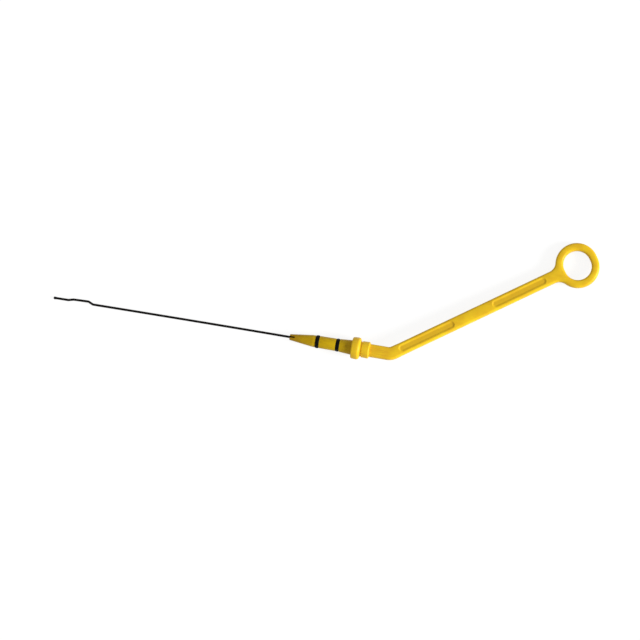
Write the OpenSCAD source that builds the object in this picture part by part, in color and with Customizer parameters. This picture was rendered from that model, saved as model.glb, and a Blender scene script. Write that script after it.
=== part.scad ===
// Engine oil dipstick: a steel wire with a joggled end, a tapered plug with two seal rings,
// and a moulded handle with a flange, a collar, a bent arm and a finger ring.
// Every piece is drawn with the plug along X, the flange's seat at the origin and the handle
// in the XY plane. The whole is then laid down on the three points that it rests on.

/* [Wire] */
// Diameter of the steel wire
wire_d = 2.0; // [1.6:0.1:2.6]
// Length of wire between the plug's nose and the tip
wire_reach = 222; // [120:1:400]
// How far the wire bows to the side of the plug's axis over that length
wire_bow = 1; // [0.5:0.1:4]
// Diameter of the bead at the tip
bead_d = 2.7; // [2.7:0.1:4]
// Distance from the tip to the kink at the low mark
low_mark = 14; // [8:0.5:25]
// Distance from the low mark to the kink at the high mark
mark_span = 23.2; // [14:0.1:60]
// Sideways offset of the tip, from the low mark on
tip_offset = 0.5; // [0:0.1:1]
// Sideways offset of the wire between the marks, at the low mark
low_offset = 1.7; // [1.5:0.1:4]
// The same at the high mark
high_offset = 2.1; // [1.5:0.1:4]
// Length of the slope at the low mark
low_slope = 4.6; // [4:0.1:6.5]
// Length of the slope at the high mark
high_slope = 4.5; // [4:0.1:6.5]
// Bend radius of the kinks, at the middle of the wire
kink_r = 3; // [2:0.5:5]
// Diameter of the upset head that holds the wire in the plastic
head_d = 4.4; // [3.6:0.1:6]
// Thickness of that head
head_t = 1.2; // [0.8:0.1:2]

/* [Plug] */
// Length of the plug from its nose to the flange
plug_len = 58.1; // [50:0.1:80]
// Diameter at the nose
nose_d = 5.4; // [4:0.1:7]
// Chamfer round the nose
nose_chamfer = 0.4; // [0.2:0.1:0.8]
// Length of the nose cone
nose_len = 21.6; // [14:0.1:22]
// Diameter of the land between the nose cone and the front seal
land_d = 10.9; // [10:0.1:11.5]
// Diameter behind the front seal
body_front_d = 11.2; // [10.5:0.1:11.6]
// Diameter at the rear seal
body_rear_d = 11.6; // [10.5:0.1:11.8]
// Diameter where the plug meets the flange
heel_d = 13.6; // [12:0.1:16]
// Depth to which the plug is let into the flange
heel_depth = 0.8; // [0.4:0.1:1.5]
// Width of the slot on top of the nose, where the wire shows
slot_w = 1.5; // [1:0.1:1.8]
// Length of that slot
slot_len = 5; // [3:0.5:8]
// Diameter of the spigot that joins the plug to the handle
spigot_d = 8.4; // [7:0.1:10]
// Length of the spigot
spigot_len = 5.4; // [3:0.1:5.5]

/* [Seals] */
// Outside diameter of both seal rings
seal_od = 12; // [11.9:0.1:13]
// Thickness of a ring's round section
seal_t = 3.1; // [2:0.1:3.3]
// Clearance in the groove on each side of a ring
seal_gap = 0.2; // [0.1:0.05:0.4]
// Distance from the nose to the middle of the front seal
front_seal_at = 26; // [24.6:0.1:30]
// Distance from the nose to the middle of the rear seal
rear_seal_at = 44.9; // [37:0.1:47]

/* [Flange and collar] */
// Diameter of the flange
flange_d = 20.4; // [18:0.1:26]
// Thickness of the flange
flange_t = 7.9; // [7.4:0.1:12]
// Edge rounding of the flange on the seat side
seat_edge = 1.1; // [0.5:0.1:2]
// Edge rounding of the flange on the handle side
back_edge = 2.5; // [1:0.1:3.5]
// Width of the groove behind the flange
groove_w = 1.5; // [0.8:0.1:2.5]
// Diameter at the bottom of that groove
groove_d = 13.8; // [12:0.1:14.5]
// Length of the collar
collar_len = 7; // [4:0.5:12]
// Diameter of the collar next to the groove
collar_front_d = 14.8; // [14.6:0.1:15.2]
// Diameter of the collar next to the neck
collar_rear_d = 15.5; // [15.2:0.1:18]
// Edge rounding of the collar
collar_edge = 0.9; // [0.3:0.1:1.5]

/* [Handle] */
// Width of the arm
arm_w = 11.5; // [11.1:0.1:12.8]
// How much wider and thicker the neck and the bend are than the arm
neck_extra = 0.3; // [0.3:0.05:0.8]
// Thickness of the arm and the ring
handle_t = 7.8; // [6:0.1:9]
// Edge rounding of the handle
edge_r = 2.2; // [1:0.1:2.4]
// Distance from the seat to the corner of the bend
bend_at = 36.5; // [28:0.5:60]
// Angle of the bend
bend_angle = 35.4; // [15:0.1:60]
// Bend radius at the middle of the arm
bend_r = 10.5; // [8:0.5:14]
// Distance from the corner of the bend to the middle of the ring
arm_len = 189.3; // [187:0.1:260]

/* [Recesses] */
// Width of a recess at its mouth
recess_w = 6.6; // [5:0.1:7]
// Width of its floor
floor_w = 4.2; // [3:0.1:4.6]
// Depth of a recess below the edge of the face
recess_depth = 0.9; // [0.5:0.1:2]
// Distance from the bend's corner to the first recess
near_recess_at = 8.3; // [7:0.1:14]
// Length of the first recess
near_recess_len = 56.2; // [20:0.1:80]
// Distance from the bend's corner to the second recess
far_recess_at = 103; // [98:0.1:109]
// Length of the second recess
far_recess_len = 54.6; // [20:0.1:56]

/* [Finger ring] */
// Width of the finger hole along the arm
hole_along = 25; // [20:0.1:32]
// Extra width of the finger hole across the arm
hole_extra = 2.6; // [0.5:0.1:5]
// Width of the ring's section
ring_w = 7.2; // [6:0.1:10]
// Radius of the fillets between the arm and the ring
web_r = 9.5; // [5:0.5:14]

/* [Hidden] */
$fn = 64;
cutter_over = 1; // how far a cutter runs past what it cuts
web_bite = 0.1; // how far a web fillet's circle runs into the ring
arm_lap = 1; // how far the arm runs back into the bend
wire_sides = 24; // sides of the swept wire
bend_steps = 8; // steps along each of its bends
settle_steps = 8; // rounds in which the resting points are found

function unit(v) = v / norm(v);
function heading(v) = atan2(v.y, v.x);
function turned_by(v, a) = [v.x * cos(a) - v.y * sin(a), v.x * sin(a) + v.y * cos(a), 0];

// Plug and seals
nose_x = -plug_len;
seal_floor_d = seal_od - 2 * seal_t;
seal_seat_w = seal_t + 2 * seal_gap;

// Wire: it bows evenly from the nose to the marks, and its tip part is straight
bow_run = (wire_reach - low_mark - mark_span - high_slope) / 2;
bow_angle = atan(wire_bow / (wire_reach - bow_run));
bow_corner = [nose_x - bow_run, 0, 0];
tip_way = turned_by([-1, 0, 0], bow_angle);
tip_side = turned_by([0, 1, 0], bow_angle);
function from_tip(distance, offset) =
    bow_corner + (wire_reach - bow_run - distance) * tip_way + offset * tip_side;
bead_centre = from_tip(bead_d / 2, tip_offset);
wire_route = [
    [spigot_len + head_t, 0, 0],
    bow_corner,
    from_tip(low_mark + mark_span, 0),
    from_tip(low_mark + mark_span - high_slope, high_offset),
    from_tip(low_mark + low_slope, low_offset),
    from_tip(low_mark, tip_offset),
    bead_centre,
];
wire_bends = [0, bow_run / tan(bow_angle / 2), kink_r, kink_r, kink_r, kink_r, 0];

// Handle
bend_run = bend_r * tan(bend_angle / 2);
collar_at = flange_t + groove_w;
collar_end = collar_at + collar_len;
neck_at = collar_end - cutter_over;

// Finger ring: two half circles, drawn apart across the arm by the hole's extra width
ring_mid = (hole_along + ring_w) / 2;
ring_shift = hole_extra / 2;
ring_centre = [bend_at, 0, 0] + arm_len * turned_by([1, 0, 0], bend_angle);

// Web fillets: each touches the arm's side and runs just into the outside of the ring
web_y = arm_w / 2 + web_r;
web_reach = ring_mid + ring_w / 2 + web_r;
web_angle = asin((web_y - ring_shift) / web_reach);
web_x = web_reach * cos(web_angle) - web_bite;
arm_end = arm_len - (web_x + ring_mid + ring_w / 2) / 2;

// Resting pose: the flange's rim, the ring's lower edge and the bead touch one plane
ring_edge_centre = ring_centre + turned_by([0, ring_shift, 0], bend_angle)
    - [0, 0, handle_t / 2 - edge_r];
function rim_point(up) =
    [seat_edge, 0, 0] - (flange_d / 2 - seat_edge) * unit([0, up.y, up.z]) - seat_edge * up;
function ring_point(up) =
    ring_edge_centre - (ring_mid + ring_w / 2 - edge_r) * unit([up.x, up.y, 0]) - edge_r * up;
function bead_point(up) = bead_centre - bead_d / 2 * up;
function plane_up(a, b, c) = unit(cross(b - a, c - a));
function settled(up, steps) = steps == 0
    ? up
    : settled(plane_up(rim_point(up), ring_point(up), bead_point(up)), steps - 1);
first_up = plane_up([0, 0, -flange_d / 2], ring_centre - [0, 0, handle_t / 2],
    bead_centre - [0, 0, bead_d / 2]);
rest_up = settled(first_up, settle_steps);
rest_ahead = unit([1, 0, 0] - rest_up.x * rest_up);
rest_side = cross(rest_up, rest_ahead);

// Turns the drawn object so that the three resting points lie level
module laid_down() {
    multmatrix([
        [rest_ahead.x, rest_ahead.y, rest_ahead.z, 0],
        [rest_side.x, rest_side.y, rest_side.z, 0],
        [rest_up.x, rest_up.y, rest_up.z, 0],
        [0, 0, 0, 1],
    ])
        children();
}

// Turns a profile about the plug's axis: its x is the radius and its y the place along the axis
module turned() {
    rotate([0, 90, 0])
        rotate_extrude()
            children();
}

// Half section of a turned body, with its two outer edges rounded
module rounded_profile(from, to, from_r, to_r, from_edge, to_edge) {
    polygon([
        [0, from],
        [from_r - from_edge, from],
        [from_r, from + from_edge],
        [to_r, to - to_edge],
        [to_r - to_edge, to],
        [0, to],
    ]);
    translate([from_r - from_edge, from + from_edge])
        circle(from_edge);
    translate([to_r - to_edge, to - to_edge])
        circle(to_edge);
}

// Bar section with rounded corners
module rounded_bar(width, thickness) {
    square([width - 2 * edge_r, thickness], center = true);
    square([width, thickness - 2 * edge_r], center = true);
    for (x = [-1, 1], y = [-1, 1])
        translate([x * (width / 2 - edge_r), y * (thickness / 2 - edge_r)])
            circle(edge_r);
}

// Straight stretch of the arm, or of the neck when extra is set, along X
module arm_bar(length, extra) {
    rotate([90, 0, 90])
        linear_extrude(length)
            rounded_bar(arm_w + extra, handle_t + extra);
}

// Slot with round ends and drafted walls, open upwards
module drafted_slot(length) {
    height = recess_depth + cutter_over;
    top_w = floor_w + (recess_w - floor_w) * height / recess_depth;
    for (x = [recess_w / 2, length - recess_w / 2])
        translate([x, 0, 0])
            cylinder(h = height, d1 = floor_w, d2 = top_w);
    translate([recess_w / 2, 0, 0])
        rotate([90, 0, 90])
            linear_extrude(length - recess_w)
                polygon([
                    [-floor_w / 2, 0],
                    [floor_w / 2, 0],
                    [top_w / 2, height],
                    [-top_w / 2, height],
                ]);
}

// The same recess in both faces of the arm
module recess_pair(at, length) {
    for (side = [0, 1])
        mirror([0, 0, side])
            translate([at, 0, handle_t / 2 - recess_depth])
                drafted_slot(length);
}

// Arm from just inside the bend to the middle of the web, along X from the bend's corner
module arm() {
    difference() {
        translate([bend_run - arm_lap, 0, 0])
            arm_bar(arm_end - bend_run + arm_lap, 0);
        recess_pair(near_recess_at, near_recess_len);
        recess_pair(far_recess_at, far_recess_len);
    }
}

// Finger ring about the origin
module finger_ring() {
    for (side = [-1, 1]) {
        translate([0, side * ring_shift, 0])
            rotate([0, 0, 90 * side - 90])
                rotate_extrude(angle = 180)
                    translate([ring_mid, 0])
                        rounded_bar(ring_w, handle_t);
        translate([side * ring_mid, 0, 0])
            rotate([90, 0, 0])
                linear_extrude(hole_extra, center = true)
                    rounded_bar(ring_w, handle_t);
    }
}

// What a web fillet takes away: a round post that flares out over the web's rounded edges
module fillet_cutter() {
    rotate_extrude()
        difference() {
            translate([0, -handle_t / 2 - cutter_over])
                square([web_r + edge_r, handle_t + 2 * cutter_over]);
            translate([web_r + arm_w / 2, 0])
                rounded_bar(arm_w, handle_t);
        }
}

// Web that widens the end of the arm into the ring, about the ring's middle
module web() {
    joint = [-ring_mid * cos(web_angle), ring_shift + ring_mid * sin(web_angle)];
    difference() {
        linear_extrude(handle_t, center = true)
            polygon([
                [-web_x, -web_y],
                [-web_x, web_y],
                joint,
                [-ring_mid, 0],
                [joint.x, -joint.y],
            ]);
        for (side = [-1, 1])
            translate([-web_x, side * web_y, 0])
                fillet_cutter();
    }
}

// Flange, groove and collar, with the socket for the plug's heel and spigot
module flange_and_collar() {
    difference() {
        turned() {
            rounded_profile(0, flange_t, flange_d / 2, flange_d / 2, seat_edge, back_edge);
            square([groove_d / 2, collar_end - collar_edge]);
            rounded_profile(collar_at, collar_end, collar_front_d / 2, collar_rear_d / 2,
                collar_edge, collar_edge);
        }
        translate([-cutter_over, 0, 0])
            rotate([0, 90, 0]) {
                cylinder(h = cutter_over + heel_depth, d = heel_d);
                cylinder(h = cutter_over + spigot_len + head_t, d = spigot_d);
            }
    }
}

module handle() {
    color("gold")
        laid_down() {
            flange_and_collar();
            translate([neck_at, 0, 0])
                arm_bar(bend_at - bend_run - neck_at, neck_extra);
            translate([bend_at - bend_run, bend_r, 0]) {
                rotate([0, 0, -90])
                    rotate_extrude(angle = bend_angle)
                        translate([bend_r, 0])
                            rounded_bar(arm_w + neck_extra, handle_t + neck_extra);
                rotate([0, 0, bend_angle])
                    translate([-bend_run, -bend_r, 0]) {
                        arm();
                        translate([arm_len, 0, 0]) {
                            web();
                            finger_ring();
                        }
                    }
            }
        }
}

// Half section of the plug from its nose to its heel in the flange, with the two seal grooves
module plug_profile() {
    difference() {
        polygon([
            [0, nose_x],
            [nose_d / 2 - nose_chamfer, nose_x],
            [nose_d / 2, nose_x + nose_chamfer],
            [land_d / 2, nose_x + nose_len],
            [land_d / 2, nose_x + front_seal_at],
            [body_front_d / 2, nose_x + front_seal_at],
            [body_rear_d / 2, nose_x + rear_seal_at],
            [heel_d / 2, 0],
            [heel_d / 2, heel_depth],
            [0, heel_depth],
        ]);
        for (at = [front_seal_at, rear_seal_at])
            translate([seal_floor_d / 2, nose_x + at - seal_seat_w / 2])
                square([heel_d, seal_seat_w]);
    }
}

module plug() {
    color("goldenrod")
        laid_down()
            difference() {
                turned() {
                    plug_profile();
                    square([spigot_d / 2, spigot_len]);
                }
                translate([nose_x - cutter_over, 0, 0])
                    rotate([0, 90, 0])
                        cylinder(h = plug_len + spigot_len + 2 * cutter_over, d = wire_d);
                translate([nose_x - cutter_over, -slot_w / 2, 0])
                    cube([cutter_over + slot_len - slot_w / 2, slot_w, heel_d]);
                translate([nose_x + slot_len - slot_w / 2, 0, 0])
                    cylinder(h = heel_d, d = slot_w);
            }
}

// Ring of points round the wire, where it stands at a place and heads along an angle
function wire_ring(place, angle) = [
    for (a = [0:360 / wire_sides:359])
        place + turned_by([0, wire_d / 2 * cos(a), 0], angle) + [0, 0, wire_d / 2 * sin(a)]
];

// Rings round one corner of the route, bent to a radius
function corner_rings(before, corner, after, radius) =
    let (
        from = heading(corner - before),
        turn = heading(turned_by(after - corner, -from)),
        run = radius * tan(abs(turn) / 2),
        start = corner - run * unit(corner - before),
        centre = start + turned_by([0, sign(turn) * radius, 0], from)
    )
    [for (i = [0:bend_steps])
        let (part = turn * i / bend_steps)
        wire_ring(centre + turned_by(start - centre, part), from + part)];

// Round wire along a route of corners, as one swept tube
module bent_wire(route, bends) {
    last = len(route) - 1;
    rings = [
        wire_ring(route[0], heading(route[1] - route[0])),
        for (i = [1:last - 1]) each corner_rings(route[i - 1], route[i], route[i + 1], bends[i]),
        wire_ring(route[last], heading(route[last] - route[last - 1])),
    ];
    polyhedron(
        points = [for (ring = rings) each ring],
        faces = [
            [for (k = [0:wire_sides - 1]) k],
            for (i = [0:len(rings) - 2], k = [0:wire_sides - 1])
                let (next = (k + 1) % wire_sides)
                [i * wire_sides + k, (i + 1) * wire_sides + k,
                    (i + 1) * wire_sides + next, i * wire_sides + next],
            [for (k = [wire_sides - 1:-1:0]) (len(rings) - 1) * wire_sides + k],
        ]
    );
}

module rod() {
    color("dimgray")
        laid_down() {
            bent_wire(wire_route, wire_bends);
            translate([spigot_len, 0, 0])
                rotate([0, 90, 0])
                    cylinder(h = head_t, d = head_d);
            translate(bead_centre)
                sphere(d = bead_d);
        }
}

// Seal ring, at its distance from the nose
module seal(at) {
    color("black")
        laid_down()
            turned()
                translate([(seal_floor_d + seal_t) / 2, nose_x + at])
                    circle(d = seal_t);
}

module front_seal() {
    seal(front_seal_at);
}

module rear_seal() {
    seal(rear_seal_at);
}

handle();
plug();
rod();
front_seal();
rear_seal();
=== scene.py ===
import math
import bmesh
import bpy
import numpy as np
from mathutils import Matrix, Vector
from mathutils.geometry import delaunay_2d_cdt


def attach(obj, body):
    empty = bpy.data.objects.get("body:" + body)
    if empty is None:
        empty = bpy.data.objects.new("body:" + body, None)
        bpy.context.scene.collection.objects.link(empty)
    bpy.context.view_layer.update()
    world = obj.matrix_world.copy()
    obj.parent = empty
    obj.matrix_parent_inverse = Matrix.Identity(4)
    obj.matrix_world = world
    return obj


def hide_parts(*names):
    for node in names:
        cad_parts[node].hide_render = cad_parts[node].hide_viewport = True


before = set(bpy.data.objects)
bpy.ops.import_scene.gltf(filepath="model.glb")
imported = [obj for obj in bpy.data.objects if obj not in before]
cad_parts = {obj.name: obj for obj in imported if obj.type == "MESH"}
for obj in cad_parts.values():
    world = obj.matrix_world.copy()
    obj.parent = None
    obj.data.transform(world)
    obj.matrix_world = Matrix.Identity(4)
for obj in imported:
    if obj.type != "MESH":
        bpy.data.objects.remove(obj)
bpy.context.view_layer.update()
print("frame loaded")

# Every piece is drawn in mm, with the plug along X and the handle flat in XY, as in the CAD source.
# These rows lay it down on the three points that it rests on.
layDown = Matrix((
    (0.999495, 0.00302923, -0.0316297),
    (0.0, 0.995445, 0.0953356),
    (0.0317744, -0.0952875, 0.994943),
))
floorHeight = -0.01016  # m
mergeGap = 0.0005  # mm; points closer than this become one


def toLinear(hexColour):
    channels = [int(hexColour[i:i + 2], 16) / 255 for i in (1, 3, 5)]
    linear = (c / 12.92 if c <= 0.04045 else ((c + 0.055) / 1.055) ** 2.4 for c in channels)
    return tuple(linear) + (1.0,)


def easeIn(low, high, value):
    t = np.clip((value - low) / (high - low), 0, 1)
    return t * t * (3 - 2 * t)


# meshes

def makePiece(name, points, faces, sharpAngle=38):
    mesh = bpy.data.meshes.new(name)
    mesh.from_pydata([tuple(p) for p in points], [], [tuple(f) for f in faces])
    shape = bmesh.new()
    shape.from_mesh(mesh)
    bmesh.ops.remove_doubles(shape, verts=shape.verts, dist=mergeGap)
    bmesh.ops.recalc_face_normals(shape, faces=shape.faces)
    shape.to_mesh(mesh)
    shape.free()
    piece = bpy.data.objects.new(name, mesh)
    bpy.context.scene.collection.objects.link(piece)
    piece["sharpAngle"] = sharpAngle
    return piece


def carve(piece, tool, how):
    # joins or cuts one closed mesh with another, then drops the tool
    cut = piece.modifiers.new(how.lower(), "BOOLEAN")
    cut.operation = how
    cut.solver = "EXACT"
    cut.object = tool
    bpy.context.view_layer.update()
    made = bpy.data.meshes.new_from_object(piece.evaluated_get(bpy.context.evaluated_depsgraph_get()))
    piece.modifiers.clear()
    piece.data = made
    bpy.data.objects.remove(tool)


def finishPiece(piece, material, node):
    # lays the piece down, in metres, and lets it stand for its CAD node
    shape = bmesh.new()
    shape.from_mesh(piece.data)
    bmesh.ops.triangulate(shape, faces=[f for f in shape.faces if len(f.verts) > 4])
    for face in shape.faces:
        face.smooth = True
    limit = math.radians(piece["sharpAngle"])
    for edge in shape.edges:
        edge.smooth = len(edge.link_faces) != 2 or edge.calc_face_angle(0) < limit
    loose = sum(1 for edge in shape.edges if len(edge.link_faces) != 2)
    shape.to_mesh(piece.data)
    shape.free()
    piece.data.transform((layDown * 0.001).to_4x4())
    piece.data.materials.clear()
    piece.data.materials.append(material)
    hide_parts(node)
    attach(piece, "root")
    print("made", piece.name, len(piece.data.polygons), "faces,", loose, "open edges")


def revolve(name, profile, sides):
    # turns (place along X, radius) points about X; a radius of 0 closes the end
    points, faces, rows = [], [], []
    for along, radius in profile:
        if radius < 1e-6:
            rows.append([len(points)] * sides)
            points.append((along, 0, 0))
            continue
        rows.append(list(range(len(points), len(points) + sides)))
        for k in range(sides):
            a = 2 * math.pi * k / sides
            points.append((along, radius * math.cos(a), radius * math.sin(a)))
    for a, b in zip(rows, rows[1:]):
        for k in range(sides):
            n = (k + 1) % sides
            corners = list(dict.fromkeys((a[k], b[k], b[n], a[n])))
            if len(corners) > 2:
                faces.append(corners)
    return makePiece(name, points, faces)


def roundCorners(path, steps=6):
    # path holds (x, y, rounding) corners; each is rounded by a short curve that starts that far from it
    share = 0.49  # of a side at most, so that two roundings never meet
    made = []
    for i, (x, y, rounding) in enumerate(path):
        if rounding == 0 or i in (0, len(path) - 1):
            made.append((x, y))
            continue
        corner = Vector((x, y))
        before = Vector(path[i - 1][:2]) - corner
        after = Vector(path[i + 1][:2]) - corner
        a = corner + before.normalized() * min(rounding, before.length * share)
        b = corner + after.normalized() * min(rounding, after.length * share)
        for k in range(steps + 1):
            t = k / steps
            made.append(tuple(a * (1 - t) ** 2 + corner * 2 * t * (1 - t) + b * t * t))
    return made


def fillet(path, steps=8):
    # path holds (x, y, radius) corners; each is rounded by a true arc of that radius
    made = []
    for i, (x, y, radius) in enumerate(path):
        if radius == 0 or i in (0, len(path) - 1):
            made.append((x, y))
            continue
        corner = Vector((x, y))
        a = (Vector(path[i - 1][:2]) - corner).normalized()
        b = (Vector(path[i + 1][:2]) - corner).normalized()
        half = a.angle(b) / 2
        centre = corner + (a + b).normalized() * radius / math.sin(half)
        start = corner + a * radius / math.tan(half) - centre
        end = corner + b * radius / math.tan(half) - centre
        turn = start.angle_signed(end)
        for k in range(steps + 1):
            angle = -turn * k / steps
            made.append(tuple(centre + Matrix.Rotation(angle, 2) @ start))
    return made


# the handle

handle = {
    # flange, groove and collar, along X from the seat
    "flangeRadius": 10.18, "flangeLength": 7.9, "seatEdge": 1.2, "backEdge": 2.5,
    "rimFall": 0.35, "rimPeak": 4.2, "rimCrown": 20.0, "grooveRadius": 6.9, "grooveEdge": 0.25,
    "collarAt": 9.4, "collarEnd": 16.4, "collarFront": 7.5, "collarRear": 7.75,
    "collarLip": 0.5, "collarEdge": 1.0, "turnedSides": 144,
    "heelRadius": 6.8, "heelDepth": 0.8, "socketRadius": 4.2, "socketDepth": 6.6,
    # neck, bend, arm and ring
    "neckAt": 15.4, "neckExtra": 0.15, "neckFade": 9.0, "neckFillet": 0.6,
    "bendAt": 36.5, "bendAngle": 35.4, "bendRadius": 10.5, "armLength": 189.3,
    "halfWidth": 5.75, "halfThickness": 3.9, "edgeRadius": 2.2, "edgeSteps": 12,
    "crownSlope": 8.4, "partingRidge": 0.04, "ridgeHalf": 0.09,
    "holeRadius": 12.5, "ringShift": 1.3, "ringWidth": 7.2, "webRadius": 9.5,
    # recesses, as (start, length) along the arm
    "recesses": ((8.3, 56.2), (103.0, 54.6)), "mouth": 3.3, "floorHalf": 1.9, "floorZ": 3.12,
    "mouthLead": 0.4, "mouthEdge": 0.38, "floorEdge": 0.6, "floorRun": 0.8,
    # points across the faces: rows in from the outline, and a grid where the arm widens into the ring
    "crownRows": (2.3, 2.8, 3.35, 3.95, 4.6, 5.25), "webGrid": 0.8, "webHalf": 9.0,
    "gridClear": 5.5, "mouthClear": 0.65,
}


def arcRow(centre, radius, start, end, into, step=0.7):
    count = max(4, round(math.radians(abs(end - start)) * radius / step))
    angles = np.radians(np.linspace(start, end, count + 1))
    out = np.stack((np.cos(angles), np.sin(angles)), 1)
    return np.hstack((np.array(centre) + radius * out, into * out))


def straightRow(start, end, into, step=1.0):
    start, end = np.array(start, float), np.array(end, float)
    count = max(1, round(np.linalg.norm(end - start) / step))
    t = np.linspace(0, 1, count + 1)[:, None]
    return np.hstack((start + t * (end - start), np.tile(into, (count + 1, 1))))


class HandlePlan:
    # the handle's outline in plan, with the direction into the plastic at each point
    def __init__(self, h):
        self.h = h
        angle = math.radians(h["bendAngle"])
        self.along = np.array((math.cos(angle), math.sin(angle)))
        self.across = np.array((-math.sin(angle), math.cos(angle)))
        self.corner = np.array((h["bendAt"], 0.0))
        self.bendRun = h["bendRadius"] * math.tan(angle / 2)
        self.ringMid = h["holeRadius"] + h["ringWidth"] / 2
        self.ringOut = h["holeRadius"] + h["ringWidth"]
        webY = h["halfWidth"] + h["webRadius"]
        reach = self.ringOut + h["webRadius"]
        webAngle = math.degrees(math.asin((webY - h["ringShift"]) / reach))
        self.webX = reach * math.cos(math.radians(webAngle))
        length, shift, half, r = h["armLength"], h["ringShift"], h["halfWidth"], h["webRadius"]
        bendX = h["bendAt"] - self.bendRun
        bendCentre = (bendX, h["bendRadius"])
        bendEnd = h["bendAngle"] - 90
        root, clear = h["collarEnd"], h["collarEnd"] + h["neckFillet"]
        lower = [
            straightRow((h["neckAt"], -half), (root, -half), (0, 1)),
            straightRow((root, -half), (clear, -half), (0, 1), step=0.1),
            straightRow((clear, -half), (bendX, -half), (0, 1)),
            arcRow(bendCentre, h["bendRadius"] + half, -90, bendEnd, -1),
        ]
        upper = [
            arcRow(bendCentre, h["bendRadius"] - half, bendEnd, -90, 1, step=0.35),
            straightRow((bendX, half), (clear, half), (0, -1)),
            straightRow((clear, half), (root, half), (0, -1), step=0.1),
            straightRow((root, half), (h["neckAt"], half), (0, -1)),
        ]
        arm = [
            straightRow((self.bendRun, -half), (length - self.webX, -half), (0, 1)),
            arcRow((length - self.webX, -webY), r, 90, webAngle, 1, step=0.5),
            arcRow((length, -shift), self.ringOut, 180 + webAngle, 360, -1),
            arcRow((length, shift), self.ringOut, 0, 180 - webAngle, -1),
            arcRow((length - self.webX, webY), r, -webAngle, -90, 1, step=0.5),
            straightRow((length - self.webX, half), (self.bendRun, half), (0, -1)),
        ]
        hole = [
            arcRow((length, shift), h["holeRadius"], 180, 0, 1, step=0.5),
            arcRow((length, -shift), h["holeRadius"], 0, -180, 1, step=0.5),
        ]
        self.outer = self.widen(self.oneRow(lower + [self.fromArm(row) for row in arm] + upper))
        self.hole = self.oneRow([self.fromArm(row) for row in hole])
        ends = np.vstack((np.roll(self.outer, -1, 0), np.roll(self.hole, -1, 0)))[:, :2]
        self.starts = np.vstack((self.outer, self.hole))[:, :2]
        self.sides = ends - self.starts
        keep = np.ones(len(self.starts), bool)
        keep[len(self.outer) - 1] = False  # the neck's hidden end isn't an edge
        self.starts, self.sides = self.starts[keep], self.sides[keep]

    def toPlan(self, places):
        return self.corner + places[:, :1] * self.along + places[:, 1:2] * self.across

    def fromArm(self, row):
        into = row[:, 2:3] * self.along + row[:, 3:4] * self.across
        return np.hstack((self.toPlan(row[:, :2]), into))

    def oneRow(self, rows):
        # joins rows, without the points that repeat where two of them meet
        row = np.vstack(rows)
        gap = np.linalg.norm(row[:, :2] - np.roll(row[:, :2], 1, 0), axis=1)
        return row[gap > 0.01]

    def armPlace(self, points):
        return (points - self.corner) @ self.along

    def extra(self, points):
        # how much wider and thicker the neck and the bend are than the arm, and the fillet where the
        # neck leaves the collar
        h = self.h
        place = self.armPlace(points)
        grown = h["neckExtra"] * (1 - easeIn(self.bendRun, self.bendRun + h["neckFade"], place))
        r = h["neckFillet"]
        gap = np.clip(points[:, 0] - h["collarEnd"], 0, r)
        return grown + np.where(place < 0, r - np.sqrt(r * r - (r - gap) ** 2), 0)

    def widen(self, row):
        row = row.copy()
        row[:, :2] -= row[:, 2:] * self.extra(row[:, :2])[:, None]
        return row

    def distance(self, points):
        # from each point to the nearest edge of the plan, in batches to spare memory
        found = np.empty(len(points))
        size = (self.sides ** 2).sum(1)
        batch = 500
        for i in range(0, len(points), batch):
            gap = points[i:i + batch, None, :] - self.starts[None]
            t = np.clip((gap * self.sides).sum(2) / size, 0, 1)
            found[i:i + batch] = np.sqrt((((gap - t[..., None] * self.sides)) ** 2).sum(2)).min(1)
        return found


def insidePolygon(points, polygon):
    inside = np.zeros(len(points), bool)
    x, y = points[:, 0], points[:, 1]
    for (ax, ay), (bx, by) in zip(polygon, np.roll(polygon, -1, 0)):
        crosses = (ay > y) != (by > y)
        with np.errstate(divide="ignore", invalid="ignore"):
            inside ^= crosses & (x < (bx - ax) * (y - ay) / (by - ay) + ax)
    return inside


def fillPlan(outline, holes, inner):
    # triangles between closed outlines, through the inner points
    loops = [outline] + holes
    points = np.vstack(loops + [inner])
    edges, first = [], 0
    for loop in loops:
        edges += [(first + k, first + (k + 1) % len(loop)) for k in range(len(loop))]
        first += len(loop)
    got = delaunay_2d_cdt([Vector(p) for p in points], edges, [], 0, 1e-6)
    places = np.array([tuple(p) for p in got[0]])
    corners = np.array(got[2])
    middles = places[corners].mean(1)
    keep = insidePolygon(middles, outline)
    for loop in holes:
        keep &= ~insidePolygon(middles, loop)
    return places, corners[keep]


def slotRow(at, length, mouth, inset):
    # one contour of a recess in the arm's own plan, inset from its mouth
    r = mouth - inset
    step, endPoints = 1.0, 25
    straight = np.arange(at + mouth, at + length - mouth, step)
    right = np.radians(np.linspace(-90, 90, endPoints))
    left = np.radians(np.linspace(90, 270, endPoints))
    return np.vstack((
        np.stack((straight, np.full(len(straight), -r)), 1),
        np.stack((at + length - mouth + r * np.cos(right), r * np.sin(right)), 1),
        np.stack((straight[::-1], np.full(len(straight), r)), 1)[:-1],
        np.stack((at + mouth + r * np.cos(left), r * np.sin(left)), 1)[:-1],
    ))


def markRecessShade(body, plan):
    # 1 on the floor of a recess and 0 from its mouth outwards: the painted shade that darkens the recess
    # floors
    h = plan.h
    places = np.array([tuple(v.co)[:2] for v in body.data.vertices])
    along, across = plan.armPlace(places), (places - plan.corner) @ plan.across
    recessShade = np.zeros(len(places))
    full, unshaded = h["floorHalf"] - 0.2, h["mouth"] - 0.3  # mm from the recess's middle
    for at, length in h["recesses"]:
        beyond = np.maximum(at + h["mouth"] - along, along - at - length + h["mouth"])
        gap = np.hypot(np.maximum(beyond, 0), across)
        recessShade = np.maximum(recessShade, 1 - easeIn(full, unshaded, gap))
    body.data.attributes.new("recessShade", "FLOAT", "POINT").data.foreach_set("value", recessShade)


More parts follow.
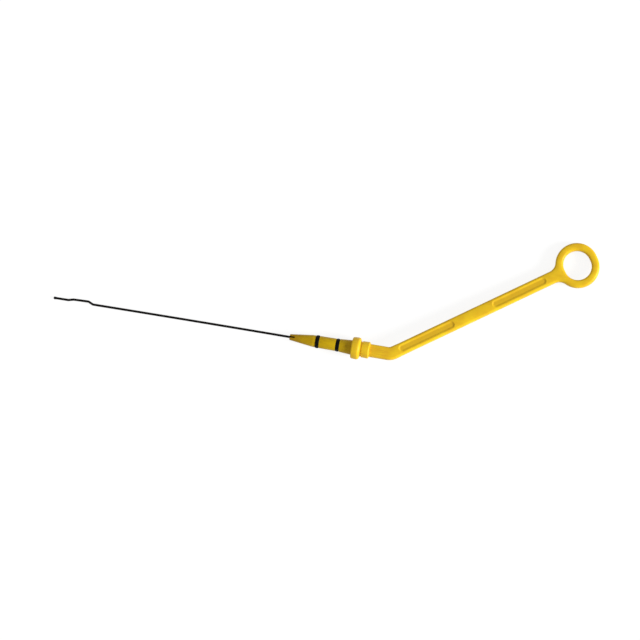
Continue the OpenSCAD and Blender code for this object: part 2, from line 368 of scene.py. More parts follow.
def buildHandle(h):
    plan = HandlePlan(h)
    slope = math.radians(h["crownSlope"])
    ridge, e, steps = h["partingRidge"], h["edgeRadius"], h["edgeSteps"]
    turn = math.pi / 2 - slope
    inset = ridge + e * (1 - math.cos(turn))
    armSpan = h["halfWidth"] - inset
    ringSpan = h["ringWidth"] / 2 - inset
    shoulder = h["halfThickness"] - e * math.sin(turn) - math.tan(slope) * armSpan / 2
    # across an edge: the fine parting ridge, the drafted wall, the rounding
    edge = [(0.0, 0.0), (ridge * 0.7, h["ridgeHalf"]), (ridge, shoulder)]
    for k in range(1, steps + 1):
        a = turn * k / steps
        edge.append((ridge + e * (1 - math.cos(a)), shoulder + e * math.sin(a)))

    def topHeight(points, distance):
        # the crowned face; the arm's crown turns into the ring's where the web widens
        place = plan.armPlace(points) - h["armLength"]
        blend = easeIn(-plan.ringOut, -0.6 * plan.ringMid, place)
        span = armSpan + plan.extra(points) + (ringSpan - armSpan) * blend
        s = np.clip(distance - inset, 0, span)
        return edge[-1][1] + plan.extra(points) + math.tan(slope) * (s - s * s / (2 * span))

    points, faces = [], []

    def addRows(rows):
        # closed rows of equal length, joined by quads
        first = len(points)
        size = len(rows[0])
        for row in rows:
            points.extend(map(tuple, row))
        for j in range(len(rows) - 1):
            for k in range(size):
                a = first + j * size + k
                b = first + j * size + (k + 1) % size
                faces.append((a, b, b + size, a + size))

    def addFill(places, heights, corners):
        first = len(points)
        points.extend((x, y, z) for (x, y), z in zip(places, heights))
        faces.extend(tuple(first + c for c in corner) for corner in corners)

    # the recesses' walls, as (inset from the mouth, share of the depth)
    wall = h["mouth"] - h["floorHalf"]
    flat = wall + h["floorRun"]
    cut = roundCorners([
        (-h["mouthLead"], 0, 0), (0, 0, h["mouthEdge"]), (wall, 1, h["floorEdge"]), (flat, 1, 0),
    ])
    cut += [((flat + h["mouth"]) / 2, 1), (h["mouth"], 1)]
    slots = []
    for at, length in h["recesses"]:
        rows = [plan.toPlan(slotRow(at, length, h["mouth"], q)) for q, depth in cut]
        surface = topHeight(rows[0], plan.distance(rows[0]))
        heights = [surface + (h["floorZ"] - surface) * depth for q, depth in cut]
        slots.append((rows, heights))
    # the points across the faces
    outline = plan.outer[:, :2] + inset * plan.outer[:, 2:]
    hole = plan.hole[:, :2] + inset * plan.hole[:, 2:]
    inner, slack = [], 0.03  # a point that comes nearer to another edge than its row is left out
    for gap in h["crownRows"]:
        for row in (plan.outer, plan.hole):
            at = row[:, :2] + gap * row[:, 2:]
            inner.append(at[plan.distance(at) > gap - slack])
    gridX = np.arange(-plan.webX, -h["holeRadius"], h["webGrid"])
    gridY = np.arange(-h["webHalf"], h["webHalf"] + 0.1, h["webGrid"])
    grid = np.stack(np.meshgrid(gridX, gridY), -1).reshape(-1, 2)
    grid = plan.toPlan(grid + (h["armLength"], 0))
    inner.append(grid[plan.distance(grid) > h["gridClear"]])
    inner = np.vstack(inner)
    inner = inner[insidePolygon(inner, outline) & ~insidePolygon(inner, hole)]
    for at, length in h["recesses"]:
        wide = plan.toPlan(slotRow(at, length, h["mouth"], -h["mouthClear"]))
        inner = inner[~insidePolygon(inner, wide)]
    places, corners = fillPlan(outline, [hole] + [rows[0] for rows, heights in slots], inner)
    top = topHeight(places, plan.distance(places))

    for side in (1, -1):
        for row in (plan.outer, plan.hole):
            lift = plan.extra(row[:, :2]) if row is plan.outer else np.zeros(len(row))
            rows = []
            for gap, height in edge:
                z = side * (height + lift * (height > 0))
                rows.append(np.hstack((row[:, :2] + gap * row[:, 2:], np.reshape(z, (-1, 1)))))
            addRows(rows)
        for rows, heights in slots:
            addRows([np.hstack((row, side * z[:, None])) for row, z in zip(rows, heights)])
        addFill(places, side * top, corners)
    body = makePiece("handle_moulding", points, faces, sharpAngle=34)

    profile = fillet([
        (h["socketDepth"], 0, 0), (h["socketDepth"], h["socketRadius"], 0),
        (h["heelDepth"], h["socketRadius"], 0), (h["heelDepth"], h["heelRadius"], 0),
        (0, h["heelRadius"], 0), (0, h["flangeRadius"] - h["rimFall"], h["seatEdge"]),
        (h["rimPeak"], h["flangeRadius"], h["rimCrown"]),
        (h["flangeLength"], h["flangeRadius"], h["backEdge"]),
        (h["flangeLength"], h["grooveRadius"], h["grooveEdge"]),
        (h["collarAt"], h["grooveRadius"], h["grooveEdge"]),
        (h["collarAt"], h["collarFront"], h["collarLip"]),
        (h["collarEnd"], h["collarRear"], h["collarEdge"]), (h["collarEnd"], 0, 0),
    ])
    carve(body, revolve("flange", profile, h["turnedSides"]), "UNION")
    markRecessShade(body, plan)
    return body


# the plug and its seals

plug = {
    # the seals' places are measured from the nose
    "noseAt": -58.1, "noseRadius": 2.7, "noseEdge": 0.4, "coneLength": 21.6,
    "landRadius": 5.45, "landEdge": 2.0, "frontRadius": 5.6, "rearRadius": 5.8,
    "frontSealAt": 26.0, "rearSealAt": 44.9,
    "groove": 3.7, "grooveRadius": 2.9, "grooveLip": 0.14, "grooveRoot": 0.3,
    "heelRadius": 6.8, "heelDepth": 0.8, "heelEdge": 0.1,
    "spigotRadius": 4.2, "spigotLength": 5.4, "spigotEdge": 0.3, "bore": 1.08, "boreEnd": 7.0,
    "slotWidth": 1.5, "slotLength": 5.0, "slotFloor": 0.05, "slotTop": 9.0,
    "sealOut": 6.05, "sealHalfHeight": 1.56, "sealHalfWidth": 1.82, "sealSquareness": 2.8, "flash": 0.02,
    "turnedSides": 144, "boreSides": 32, "sealSides": 40,
}


def buildPlug(p):
    nose, lip, root = p["noseAt"], p["grooveLip"], p["grooveRoot"]
    front, rear = nose + p["frontSealAt"], nose + p["rearSealAt"]
    between = lambda x, x0, r0, x1, r1: r0 + (r1 - r0) * (x - x0) / (x1 - x0)
    mid = lambda x: between(x, front, p["frontRadius"], rear, p["rearRadius"])
    tail = lambda x: between(x, rear, p["rearRadius"], 0, p["heelRadius"])
    a, b = front - p["groove"] / 2, front + p["groove"] / 2
    c, d = rear - p["groove"] / 2, rear + p["groove"] / 2
    profile = fillet([
        (nose, 0, 0), (nose, p["noseRadius"], p["noseEdge"]),
        (nose + p["coneLength"], p["landRadius"], p["landEdge"]), (a, p["landRadius"], lip),
        (a, p["grooveRadius"], root), (b, p["grooveRadius"], root), (b, mid(b), lip), (c, mid(c), lip),
        (c, p["grooveRadius"], root), (d, p["grooveRadius"], root), (d, tail(d), lip),
        (0, p["heelRadius"], 0), (p["heelDepth"], p["heelRadius"], p["heelEdge"]),
        (p["heelDepth"], p["spigotRadius"], 0), (p["spigotLength"], p["spigotRadius"], p["spigotEdge"]),
        (p["spigotLength"], 0, 0),
    ], 6)
    body = revolve("plug_body", profile, p["turnedSides"])
    start = nose - 1  # cutters begin 1 mm before the nose
    bore = [(start, 0), (start, p["bore"]), (p["boreEnd"], p["bore"]), (p["boreEnd"], 0)]
    carve(body, revolve("bore", bore, p["boreSides"]), "DIFFERENCE")
    half, end = p["slotWidth"] / 2, nose + p["slotLength"] - p["slotWidth"] / 2
    outline = [(start, -half), (end, -half)]
    # no point of the slot's round end lies on the bore's own line of points
    outline += [(end + half * math.sin(t), -half * math.cos(t)) for t in np.linspace(0, math.pi, 14)[1:-1]]
    outline += [(end, half), (start, half)]
    count = len(outline)
    points = [(x, y, z) for z in (p["slotFloor"], p["slotTop"]) for x, y in outline]
    faces = [range(count), range(2 * count - 1, count - 1, -1)]
    faces += [(k, (k + 1) % count, count + (k + 1) % count, count + k) for k in range(count)]
    carve(body, makePiece("slot", points, faces), "DIFFERENCE")
    return body


def buildSeal(name, p, at):
    # a round section, squeezed a little wider by its groove, with the mould's fine flash line
    middle = p["sealOut"] - p["sealHalfHeight"] - p["flash"]
    bend = lambda c: math.copysign(abs(c) ** (2 / p["sealSquareness"]), c)
    sides, around = p["turnedSides"], p["sealSides"]
    points, faces = [], []
    for j in range(sides):
        a = 2 * math.pi * j / sides
        for k in range(around):
            t = 2 * math.pi * k / around
            proud = p["flash"] if k in (0, around // 2) else 0
            radius = middle + (p["sealHalfHeight"] + proud) * bend(math.cos(t))
            along = p["noseAt"] + at + p["sealHalfWidth"] * bend(math.sin(t))
            points.append((along, radius * math.cos(a), radius * math.sin(a)))
            n = (j + 1) % sides
            m = (k + 1) % around
            faces.append((j * around + k, n * around + k, n * around + m, j * around + m))
    return makePiece(name, points, faces, sharpAngle=60)


# the wire

wire = {
    "radius": 1.08, "reach": 222.0, "bow": 1.0, "sides": 32,
    "headRadius": 2.2, "headAt": 5.4, "headThickness": 1.2, "headBevel": 0.15,
    # level marks and tip, measured back from the tip
    "lowMark": 14.0, "markSpan": 23.2, "lowSlope": 4.6, "highSlope": 4.5, "kinkRadius": 3.0,
    "tipOffset": 0.5, "lowOffset": 1.7, "highOffset": 2.1,
    # the bead, and the small swelling behind it
    "beadRadius": 1.345, "swellHeight": 0.12, "swellAt": 0.9, "swellLength": 0.5, "swellEnd": 3.0,
}


def turned(v, angle):
    return Matrix.Rotation(angle, 2) @ Vector(v)


def wireRoute(w, nose):
    # places along the wire's middle, from its head to its tip
    bowRun = (w["reach"] - w["lowMark"] - w["markSpan"] - w["highSlope"]) / 2
    bowAngle = math.atan(w["bow"] / (w["reach"] - bowRun))
    corner = Vector((nose - bowRun, 0))
    way, side = turned((-1, 0), bowAngle), turned((0, 1), bowAngle)
    fromTip = lambda gap, offset: corner + (w["reach"] - bowRun - gap) * way + offset * side
    low, high = w["lowMark"], w["lowMark"] + w["markSpan"]
    route = [
        Vector((w["headAt"] + w["headThickness"], 0)), corner, fromTip(high, 0),
        fromTip(high - w["highSlope"], w["highOffset"]), fromTip(low + w["lowSlope"], w["lowOffset"]),
        fromTip(low, w["tipOffset"]), fromTip(0.01, w["tipOffset"]),
    ]
    bends = [0, bowRun / math.tan(bowAngle / 2)] + [w["kinkRadius"]] * 4 + [0]
    places = [route[0]]
    for i in range(1, len(route) - 1):
        before, after = route[i] - route[i - 1], route[i + 1] - route[i]
        turn = -before.angle_signed(after)
        run = bends[i] * math.tan(abs(turn) / 2)
        start = route[i] - before.normalized() * run
        centre = start + turned(before.normalized(), math.copysign(math.pi / 2, turn)) * bends[i]
        steps = 40 if i == 1 else 12  # the bow is long, the kinks are short
        places += [centre + turned(start - centre, turn * k / steps) for k in range(steps + 1)]
    places.append(route[-1])
    return places


def buildWire(w, nose):
    places = wireRoute(w, nose)
    lengths = [0.0]
    for a, b in zip(places, places[1:]):
        lengths.append(lengths[-1] + (b - a).length)
    total = lengths[-1]
    bead = total - w["beadRadius"]
    r = w["radius"]
    # rings lie close together at the head, in the bends and at the bead, and ringGap apart between
    headSpan, beadSpan, ringGap = 1.8, 3.2, 3.0
    stops = list(lengths) + list(np.linspace(0, headSpan, 13))
    stops += list(np.linspace(bead - beadSpan, total - mergeGap, 60))
    stops += list(np.arange(4, total - 5, ringGap))
    stops = sorted(set(round(s, 4) for s in stops))

    def radiusAt(s):
        if s <= w["headThickness"]:
            return w["headRadius"] - w["headBevel"] * (1 - min(1, s / w["headBevel"]))
        swell = w["beadRadius"] ** 2 - (s - bead) ** 2
        ball = math.sqrt(swell) if swell > 0 else 0
        if s > bead:
            return max(ball, 0.01)
        neck = r
        if s > bead - w["swellEnd"]:
            neck += w["swellHeight"] * math.exp(-((bead - s - w["swellAt"]) / w["swellLength"]) ** 2)
        return max(ball, neck)

    rings = []
    for s in stops:
        i = min(max(np.searchsorted(lengths, s) - 1, 0), len(places) - 2)
        share = (s - lengths[i]) / max(lengths[i + 1] - lengths[i], 1e-9)
        before = (places[i + 1] - places[max(i - 1, 0)]).normalized()
        after = (places[min(i + 2, len(places) - 1)] - places[i]).normalized()
        way = (before * (1 - share) + after * share).normalized()
        rings.append((places[i].lerp(places[i + 1], share), way, radiusAt(s)))
        if abs(s - w["headThickness"]) < 1e-6:
            rings.append((rings[-1][0], way, r))
    points, faces, sides = [], [], w["sides"]
    for place, way, radius in rings:
        out = Vector((-way.y, way.x))
        for k in range(sides):
            a = 2 * math.pi * k / sides
            flat = place + out * radius * math.cos(a)
            points.append((flat.x, flat.y, radius * math.sin(a)))
    for j in range(len(rings) - 1):
        for k in range(sides):
            n = (k + 1) % sides
            faces.append((j * sides + k, j * sides + n, (j + 1) * sides + n, (j + 1) * sides + k))
    faces += [tuple(range(sides)), tuple(range(len(points) - 1, len(points) - sides - 1, -1))]
    return makePiece("gauge_wire", points, faces, sharpAngle=50)


# materials

def addNode(tree, kind, settings=None, links=None):
    # settings and links go by socket name or number; a link's source is a node or one of its sockets
    node = tree.nodes.new(kind)
    for name, value in (settings or {}).items():
        if isinstance(name, int) or name in node.inputs:
            node.inputs[name].default_value = value
        else:
            setattr(node, name, value)
    for name, source in (links or {}).items():
        if isinstance(source, bpy.types.Node):
            source = next(socket for socket in source.outputs if socket.enabled)
        tree.links.new(source, node.inputs[name])
    return node


def newMaterial(name):
    material = bpy.data.materials.new(name)
    material.use_nodes = True
    material.node_tree.nodes.clear()
    return material, material.node_tree


def perMetre(grain, drawnOut=1):
    # pattern units in a metre, for a grain of that many mm that is drawn out along the plug
    return (1000 / (grain * drawnOut), 1000 / grain, 1000 / grain)


handleFinish = {
    # one of these tones, a little darker, is painted shade for the recess floors
    "colour": "#e5bd18", "deep": "#daac18", "pale": "#eec91e", "recessShadeTone": "#d4a81a", "scuffed": "#bd8821",
    "roughness": 0.44, "specular": 0.22,
    "cloud": 10, "flow": 3.0, "grain": 0.45, "waviness": 9, "shadeMottle": 5, "scuff": 0.4,  # mm across
    "scuffFrom": (16, 18), "scuffTo": (44, 30),  # mm along X: where they come in, and where they fade
}


def mouldedPolyamide(f):
    # glass-filled nylon as it leaves a spark-eroded mould: even yellow, soft broad highlights, a fine grain
    material, tree = newMaterial("moulded yellow polyamide")
    place = addNode(tree, "ShaderNodeTexCoord").outputs["Object"]
    near = addNode(tree, "ShaderNodeMapping", {"Scale": perMetre(f["cloud"])}, {"Vector": place})
    cloud = addNode(tree, "ShaderNodeTexNoise", {"Scale": 1, "Detail": 1}, {"Vector": near})
    cloud = addNode(tree, "ShaderNodeMapRange", {"From Min": 0.3, "From Max": 0.7}, {"Value": cloud})
    near = addNode(tree, "ShaderNodeMapping", {"Scale": perMetre(f["flow"], 5)}, {"Vector": place})
    flow = addNode(tree, "ShaderNodeTexNoise", {"Scale": 1, "Detail": 3}, {"Vector": near})
    pale = addNode(tree, "ShaderNodeMapRange",
                   {"From Min": 0.45, "From Max": 0.75, "To Max": 0.4}, {"Value": flow})
    colour = addNode(tree, "ShaderNodeMix",
                     {"data_type": "RGBA", 6: toLinear(f["colour"]), 7: toLinear(f["deep"])}, {0: cloud})
    colour = addNode(tree, "ShaderNodeMix",
                     {"data_type": "RGBA", 7: toLinear(f["pale"])}, {0: pale, 6: colour.outputs[2]})
    # brown scuffs along the neck, where fingers turn it: real ones are hairlines, near 0.05 mm, and
    # they are drawn 0.4 mm wide so that they show
    near = addNode(tree, "ShaderNodeMapping", {"Scale": perMetre(f["scuff"], 45)}, {"Vector": place})
    scuff = addNode(tree, "ShaderNodeTexNoise", {"Scale": 1, "Detail": 1}, {"Vector": near})
    scuff = addNode(tree, "ShaderNodeMapRange",
                    {"From Min": 0.53, "From Max": 0.72, "To Max": 0.6}, {"Value": scuff})
    along = addNode(tree, "ShaderNodeSeparateXYZ", {}, {"Vector": place}).outputs["X"]
    for start, end in (f["scuffFrom"], f["scuffTo"]):
        onNeck = addNode(tree, "ShaderNodeMapRange",
                         {"From Min": start / 1000, "From Max": end / 1000}, {"Value": along})
        scuff = addNode(tree, "ShaderNodeMath", {"operation": "MULTIPLY"}, {0: scuff, 1: onNeck})
    colour = addNode(tree, "ShaderNodeMix",
                     {"data_type": "RGBA", 7: toLinear(f["scuffed"])}, {0: scuff, 6: colour.outputs[2]})
    # painted shade on the floors of the recesses, uneven in strength
    recessShade = addNode(tree, "ShaderNodeAttribute", {"attribute_name": "recessShade"}).outputs["Fac"]
    near = addNode(tree, "ShaderNodeMapping", {"Scale": perMetre(f["shadeMottle"])}, {"Vector": place})
    shadeMottle = addNode(tree, "ShaderNodeTexNoise",
                    {"Scale": 1, "Detail": 4, "Roughness": 0.65}, {"Vector": near})
    shadeMottle = addNode(tree, "ShaderNodeMapRange",
                    {"From Min": 0.35, "From Max": 0.65, "To Min": 0.6}, {"Value": shadeMottle})
    patches = addNode(tree, "ShaderNodeMath", {"operation": "MULTIPLY"}, {0: recessShade, 1: shadeMottle})
    colour = addNode(tree, "ShaderNodeMix",
                     {"data_type": "RGBA", 7: toLinear(f["recessShadeTone"])}, {0: patches, 6: colour.outputs[2]})
    # a spark-eroded grain is near 0.1 mm; it is drawn at 0.45 mm so that it shows
    near = addNode(tree, "ShaderNodeMapping", {"Scale": perMetre(f["grain"])}, {"Vector": place})
    grain = addNode(tree, "ShaderNodeTexNoise",
                    {"Scale": 1, "Detail": 2, "Roughness": 0.6}, {"Vector": near})
    near = addNode(tree, "ShaderNodeMapping", {"Scale": perMetre(f["waviness"])}, {"Vector": place})
    waviness = addNode(tree, "ShaderNodeTexNoise", {"Scale": 1, "Detail": 1}, {"Vector": near})
    normal = addNode(tree, "ShaderNodeBump", {"Distance": 0.0003, "Strength": 0.25}, {"Height": waviness})
    normal = addNode(tree, "ShaderNodeBump",
                     {"Distance": 0.00004, "Strength": 0.35}, {"Height": grain, "Normal": normal})
    rough = addNode(tree, "ShaderNodeMapRange",
                    {"To Min": f["roughness"] - 0.06, "To Max": f["roughness"] + 0.08}, {"Value": flow})
    shader = addNode(tree, "ShaderNodeBsdfPrincipled", {"IOR": 1.53, "Specular IOR Level": f["specular"]},
                     {"Base Color": colour.outputs[2], "Roughness": rough, "Normal": normal})
    addNode(tree, "ShaderNodeOutputMaterial", {}, {"Surface": shader})
    return material


plugFinish = {
    "colour": "#c5a20a", "deep": "#987606", "stainAndShade": "#96680a", "grooveHighlight": "#e2c01a",
    "roughness": 0.36, "specular": 0.12,
    "drag": 0.4, "cloud": 7,  # mm across
    "tail": (-14, 2, 0.3), "nose": (-38, -60, 0.75),  # painted shade from and to, in mm along X, and how strongly
    "highlightFrom": 2.4, "highlightFull": 1.8,  # mm from a seal's middle: where the painted highlight begins, and where it is full
}


def mouldedAcetal(f, p):
    # acetal seal body, smooth but dulled by oil: a greener ochre, with drag marks along it from the tube,
    # painted shade in brown toward the flange and on the nose cone, and a painted highlight, paler, on the
    # groove edges beside the seals
    material, tree = newMaterial("oil dulled acetal")
    place = addNode(tree, "ShaderNodeTexCoord").outputs["Object"]
    along = addNode(tree, "ShaderNodeSeparateXYZ", {}, {"Vector": place})
    # real drag marks are hairlines, near 0.05 mm; they are drawn 0.4 mm wide so that they show
    near = addNode(tree, "ShaderNodeMapping", {"Scale": perMetre(f["drag"], 60)}, {"Vector": place})
    drag = addNode(tree, "ShaderNodeTexNoise", {"Scale": 1, "Detail": 1}, {"Vector": near})
    dragged = addNode(tree, "ShaderNodeMapRange",
                      {"From Min": 0.52, "From Max": 0.74, "To Max": 0.75}, {"Value": drag})
    near = addNode(tree, "ShaderNodeMapping", {"Scale": perMetre(f["cloud"], 2)}, {"Vector": place})
    cloud = addNode(tree, "ShaderNodeTexNoise", {"Scale": 1, "Detail": 2}, {"Vector": near})
    clouded = addNode(tree, "ShaderNodeMapRange",
                      {"From Min": 0.45, "From Max": 0.8, "To Max": 0.35}, {"Value": cloud})
    colour = addNode(tree, "ShaderNodeMix",
                     {"data_type": "RGBA", 6: toLinear(f["colour"]), 7: toLinear(f["deep"])}, {0: dragged})
    colour = addNode(tree, "ShaderNodeMix",
                     {"data_type": "RGBA", 7: toLinear(f["stainAndShade"])}, {0: clouded, 6: colour.outputs[2]})
    # painted shade: browner toward the flange, which shades the rear cone, and darker on the nose cone, which
    # faces away from the key light
    for start, end, strength in (f["tail"], f["nose"]):
        shaded = addNode(tree, "ShaderNodeMapRange",
                          {"From Min": start / 1000, "From Max": end / 1000, "To Max": strength},
                          {"Value": along.outputs["X"]})
        colour = addNode(tree, "ShaderNodeMix",
                         {"data_type": "RGBA", 7: toLinear(f["stainAndShade"])}, {0: shaded, 6: colour.outputs[2]})
    # painted highlight: a paler band on the groove edges beside each seal
    for at in (p["frontSealAt"], p["rearSealAt"]):
        gap = addNode(tree, "ShaderNodeMath", {"operation": "SUBTRACT", 1: (p["noseAt"] + at) / 1000},
                      {0: along.outputs["X"]})
        gap = addNode(tree, "ShaderNodeMath", {"operation": "ABSOLUTE"}, {0: gap})
        grooveHighlight = addNode(tree, "ShaderNodeMapRange",
                         {"From Min": f["highlightFrom"] / 1000, "From Max": f["highlightFull"] / 1000, "To Max": 0.75},
                         {"Value": gap})
        colour = addNode(tree, "ShaderNodeMix",
                         {"data_type": "RGBA", 7: toLinear(f["grooveHighlight"])}, {0: grooveHighlight, 6: colour.outputs[2]})
    normal = addNode(tree, "ShaderNodeBump", {"Distance": 0.00003, "Strength": 0.4}, {"Height": drag})
    rough = addNode(tree, "ShaderNodeMapRange",
                    {"To Min": f["roughness"] - 0.08, "To Max": f["roughness"] + 0.1}, {"Value": cloud})
    shader = addNode(tree, "ShaderNodeBsdfPrincipled", {"IOR": 1.48, "Specular IOR Level": f["specular"]},
                     {"Base Color": colour.outputs[2], "Roughness": rough, "Normal": normal})
    addNode(tree, "ShaderNodeOutputMaterial", {}, {"Surface": shader})
    return material


sealFinish = {
    "colour": "#020202", "bloom": "#070708", "roughness": 0.46, "specular": 0.06,
    "cloud": 1.6, "grain": 0.3,  # mm across
}


def nitrileRubber(f):
    # black nitrile ring with a film of oil: a soft grey highlight and a faint bloom
    material, tree = newMaterial("oiled nitrile rubber")
    place = addNode(tree, "ShaderNodeTexCoord").outputs["Object"]
    near = addNode(tree, "ShaderNodeMapping", {"Scale": perMetre(f["cloud"])}, {"Vector": place})
    cloud = addNode(tree, "ShaderNodeTexNoise", {"Scale": 1, "Detail": 4}, {"Vector": near})
    bloom = addNode(tree, "ShaderNodeMapRange", {"From Min": 0.45, "From Max": 0.8}, {"Value": cloud})
    colour = addNode(tree, "ShaderNodeMix",
                     {"data_type": "RGBA", 6: toLinear(f["colour"]), 7: toLinear(f["bloom"])}, {0: bloom})
    # moulded rubber's grain is near 0.05 mm; it is drawn at 0.3 mm so that it shows
    near = addNode(tree, "ShaderNodeMapping", {"Scale": perMetre(f["grain"])}, {"Vector": place})
    grain = addNode(tree, "ShaderNodeTexNoise", {"Scale": 1, "Detail": 2}, {"Vector": near})
    normal = addNode(tree, "ShaderNodeBump", {"Distance": 0.00003, "Strength": 0.4}, {"Height": grain})
    rough = addNode(tree, "ShaderNodeMapRange",
                    {"To Min": f["roughness"] - 0.1, "To Max": f["roughness"] + 0.1}, {"Value": cloud})
    shader = addNode(tree, "ShaderNodeBsdfPrincipled", {"IOR": 1.52, "Specular IOR Level": f["specular"]},
                     {"Base Color": colour.outputs[2], "Roughness": rough, "Normal": normal})
    addNode(tree, "ShaderNodeOutputMaterial", {}, {"Surface": shader})
    return material


wireFinish = {
    "colour": "#070403", "worn": "#120c09", "oil": "#030201", "roughness": 0.36, "specular": 0.08,
    "lines": 0.16, "patches": 4,  # mm across
}


def oxidisedSteel(f):
    # hard-drawn spring wire, black oxidised and oily: near black brown, as the oxide hides the metal's
    # colour, with fine lines along it from the die and a narrow gleam
    material, tree = newMaterial("black oxidised steel wire")
    place = addNode(tree, "ShaderNodeTexCoord").outputs["Object"]
    # the die's lines are near 0.02 mm; they are drawn at 0.16 mm so that they show
    near = addNode(tree, "ShaderNodeMapping", {"Scale": perMetre(f["lines"], 60)}, {"Vector": place})
    lines = addNode(tree, "ShaderNodeTexNoise",
                    {"Scale": 1, "Detail": 3, "Roughness": 0.6}, {"Vector": near})
    near = addNode(tree, "ShaderNodeMapping", {"Scale": perMetre(f["patches"], 3)}, {"Vector": place})
    patches = addNode(tree, "ShaderNodeTexNoise",
                   {"Scale": 1, "Detail": 4, "Roughness": 0.6}, {"Vector": near})
    worn = addNode(tree, "ShaderNodeMapRange", {"From Min": 0.45, "From Max": 0.8}, {"Value": lines})
    oiled = addNode(tree, "ShaderNodeMapRange", {"From Min": 0.4, "From Max": 0.65}, {"Value": patches})
    colour = addNode(tree, "ShaderNodeMix",
                     {"data_type": "RGBA", 6: toLinear(f["colour"]), 7: toLinear(f["worn"])}, {0: worn})
    colour = addNode(tree, "ShaderNodeMix",
                     {"data_type": "RGBA", 7: toLinear(f["oil"])}, {0: oiled, 6: colour.outputs[2]})
    normal = addNode(tree, "ShaderNodeBump", {"Distance": 0.00002, "Strength": 0.4}, {"Height": lines})
    rough = addNode(tree, "ShaderNodeMapRange",
                    {"To Min": f["roughness"] - 0.1, "To Max": f["roughness"] + 0.12}, {"Value": patches})
    shader = addNode(tree, "ShaderNodeBsdfPrincipled", {"Metallic": 0.1, "Specular IOR Level": f["specular"]},
                     {"Base Color": colour.outputs[2], "Roughness": rough, "Normal": normal})
    addNode(tree, "ShaderNodeOutputMaterial", {}, {"Surface": shader})
    return material


# stage, light and camera

studio = {
    "fill": 0.5, "key": 4.3,  # strengths
    "keyAzimuth": -4.0, "keyElevation": 24, "keySoftness": 20,  # degrees
    "floorHalf": 2.5,  # m
    "paper": 0.72, "shownPaper": 0.17, "lift": 0.87,  # greys, and the glow that brings seen paper to white
}


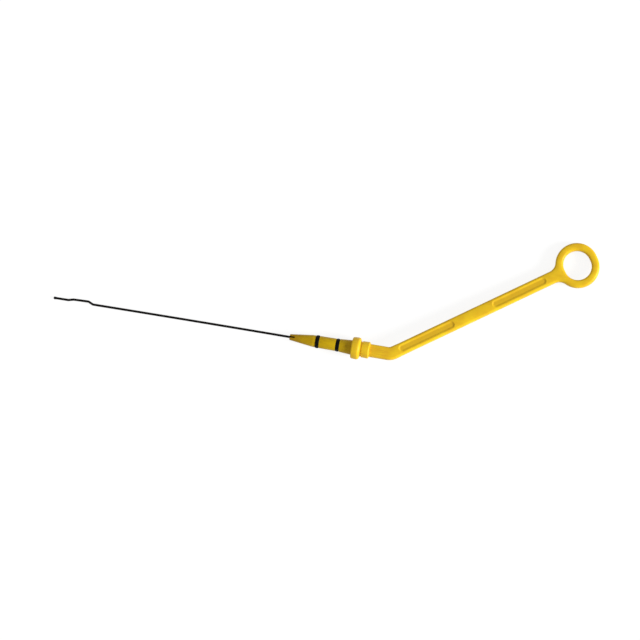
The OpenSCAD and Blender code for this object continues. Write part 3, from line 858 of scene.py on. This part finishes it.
def buildStage(s):
    half = s["floorHalf"]
    corners = [(-half, -half), (half, -half), (half, half), (-half, half)]
    mesh = bpy.data.meshes.new("floor")
    mesh.from_pydata([(x, y, floorHeight) for x, y in corners], [], [(0, 1, 2, 3)])
    floor = bpy.data.objects.new("floor", mesh)
    bpy.context.scene.collection.objects.link(floor)
    material, tree = newMaterial("pale studio paper")
    seen = addNode(tree, "ShaderNodeLightPath")
    direct = addNode(tree, "ShaderNodeMath", {"operation": "MAXIMUM"},
                     {0: seen.outputs["Is Camera Ray"], 1: seen.outputs["Is Glossy Ray"]})
    direct = addNode(tree, "ShaderNodeMath", {"operation": "MAXIMUM"},
                     {0: direct, 1: seen.outputs["Is Transmission Ray"]})
    # what is seen of the paper is lifted to white and keeps a faint shadow; the light it gives back is
    # that of plain paper
    paper = addNode(tree, "ShaderNodeBsdfDiffuse", {"Color": (s["paper"],) * 3 + (1,)})
    shown = addNode(tree, "ShaderNodeBsdfDiffuse", {"Color": (s["shownPaper"],) * 3 + (1,)})
    lift = addNode(tree, "ShaderNodeEmission", {"Strength": s["lift"]})
    shown = addNode(tree, "ShaderNodeAddShader", {}, {0: shown, 1: lift})
    mix = addNode(tree, "ShaderNodeMixShader", {}, {0: direct, 1: paper, 2: shown})
    addNode(tree, "ShaderNodeOutputMaterial", {}, {"Surface": mix})
    mesh.materials.append(material)

    world = bpy.data.worlds.new("studio")
    bpy.context.scene.world = world
    world.use_nodes = True
    tree = world.node_tree
    tree.nodes.clear()
    seen = addNode(tree, "ShaderNodeLightPath")
    direct = addNode(tree, "ShaderNodeMath", {"operation": "MAXIMUM"},
                     {0: seen.outputs["Is Camera Ray"], 1: seen.outputs["Is Glossy Ray"]})
    direct = addNode(tree, "ShaderNodeMath", {"operation": "MAXIMUM"},
                     {0: direct, 1: seen.outputs["Is Transmission Ray"]})
    fill = addNode(tree, "ShaderNodeBackground", {"Color": (1, 1, 1, 1), "Strength": s["fill"]})
    white = addNode(tree, "ShaderNodeBackground", {"Color": (1, 1, 1, 1), "Strength": 1.0})
    mix = addNode(tree, "ShaderNodeMixShader", {}, {0: direct, 1: fill, 2: white})
    addNode(tree, "ShaderNodeOutputWorld", {}, {"Surface": mix})

    lamp = bpy.data.lights.new("key", "SUN")
    lamp.energy = s["key"]
    lamp.angle = math.radians(s["keySoftness"])
    key = bpy.data.objects.new("key", lamp)
    bpy.context.scene.collection.objects.link(key)
    azimuth, elevation = math.radians(s["keyAzimuth"]), math.radians(s["keyElevation"])
    level = math.cos(elevation)
    towards = Vector((math.cos(azimuth) * level, math.sin(azimuth) * level, math.sin(elevation)))
    key.rotation_mode = "QUATERNION"
    key.rotation_quaternion = towards.to_track_quat("Z", "Y")


camera = {
    "roll": 9.917, "lean": 3.6, "pitch": 4.0,  # degrees
    "target": (-0.03324, 0.01997, 0.0), "width": 0.58747,  # m: the picture's middle, and its width there
    "lens": 400.0, "sensor": 36,  # mm
}


def buildCamera(c):
    # it looks down, rolled, from a little to the picture's right and bottom
    roll, lean, pitch = (math.radians(c[name]) for name in ("roll", "lean", "pitch"))
    right = Vector((math.cos(roll), math.sin(roll), 0))
    up = Vector((-math.sin(roll), math.cos(roll), 0))
    back = (Vector((0, 0, 1)) * math.cos(lean) + right * math.sin(lean)) * math.cos(pitch)
    back -= up * math.sin(pitch)
    right = up.cross(back).normalized()
    up = back.cross(right)
    data = bpy.data.cameras.new("camera")
    data.lens, data.sensor_width = c["lens"], c["sensor"]
    data.clip_start, data.clip_end = 0.05, 20
    distance = c["width"] * c["lens"] / c["sensor"]
    shot = bpy.data.objects.new("camera", data)
    bpy.context.scene.collection.objects.link(shot)
    frameMatrix = Matrix((right, up, back)).transposed().to_4x4()
    frameMatrix.translation = Vector(c["target"]) + back * distance
    shot.matrix_world = frameMatrix
    bpy.context.scene.camera = shot


bpy.context.scene.view_settings.view_transform = "Standard"
buildCamera(camera)
buildStage(studio)
print("stage and camera set")

finishPiece(buildHandle(handle), mouldedPolyamide(handleFinish), "handle")
finishPiece(buildPlug(plug), mouldedAcetal(plugFinish, plug), "plug")
rubber = nitrileRubber(sealFinish)
finishPiece(buildSeal("seal_front", plug, plug["frontSealAt"]), rubber, "front_seal")
finishPiece(buildSeal("seal_rear", plug, plug["rearSealAt"]), rubber, "rear_seal")
finishPiece(buildWire(wire, plug["noseAt"]), oxidisedSteel(wireFinish), "rod")
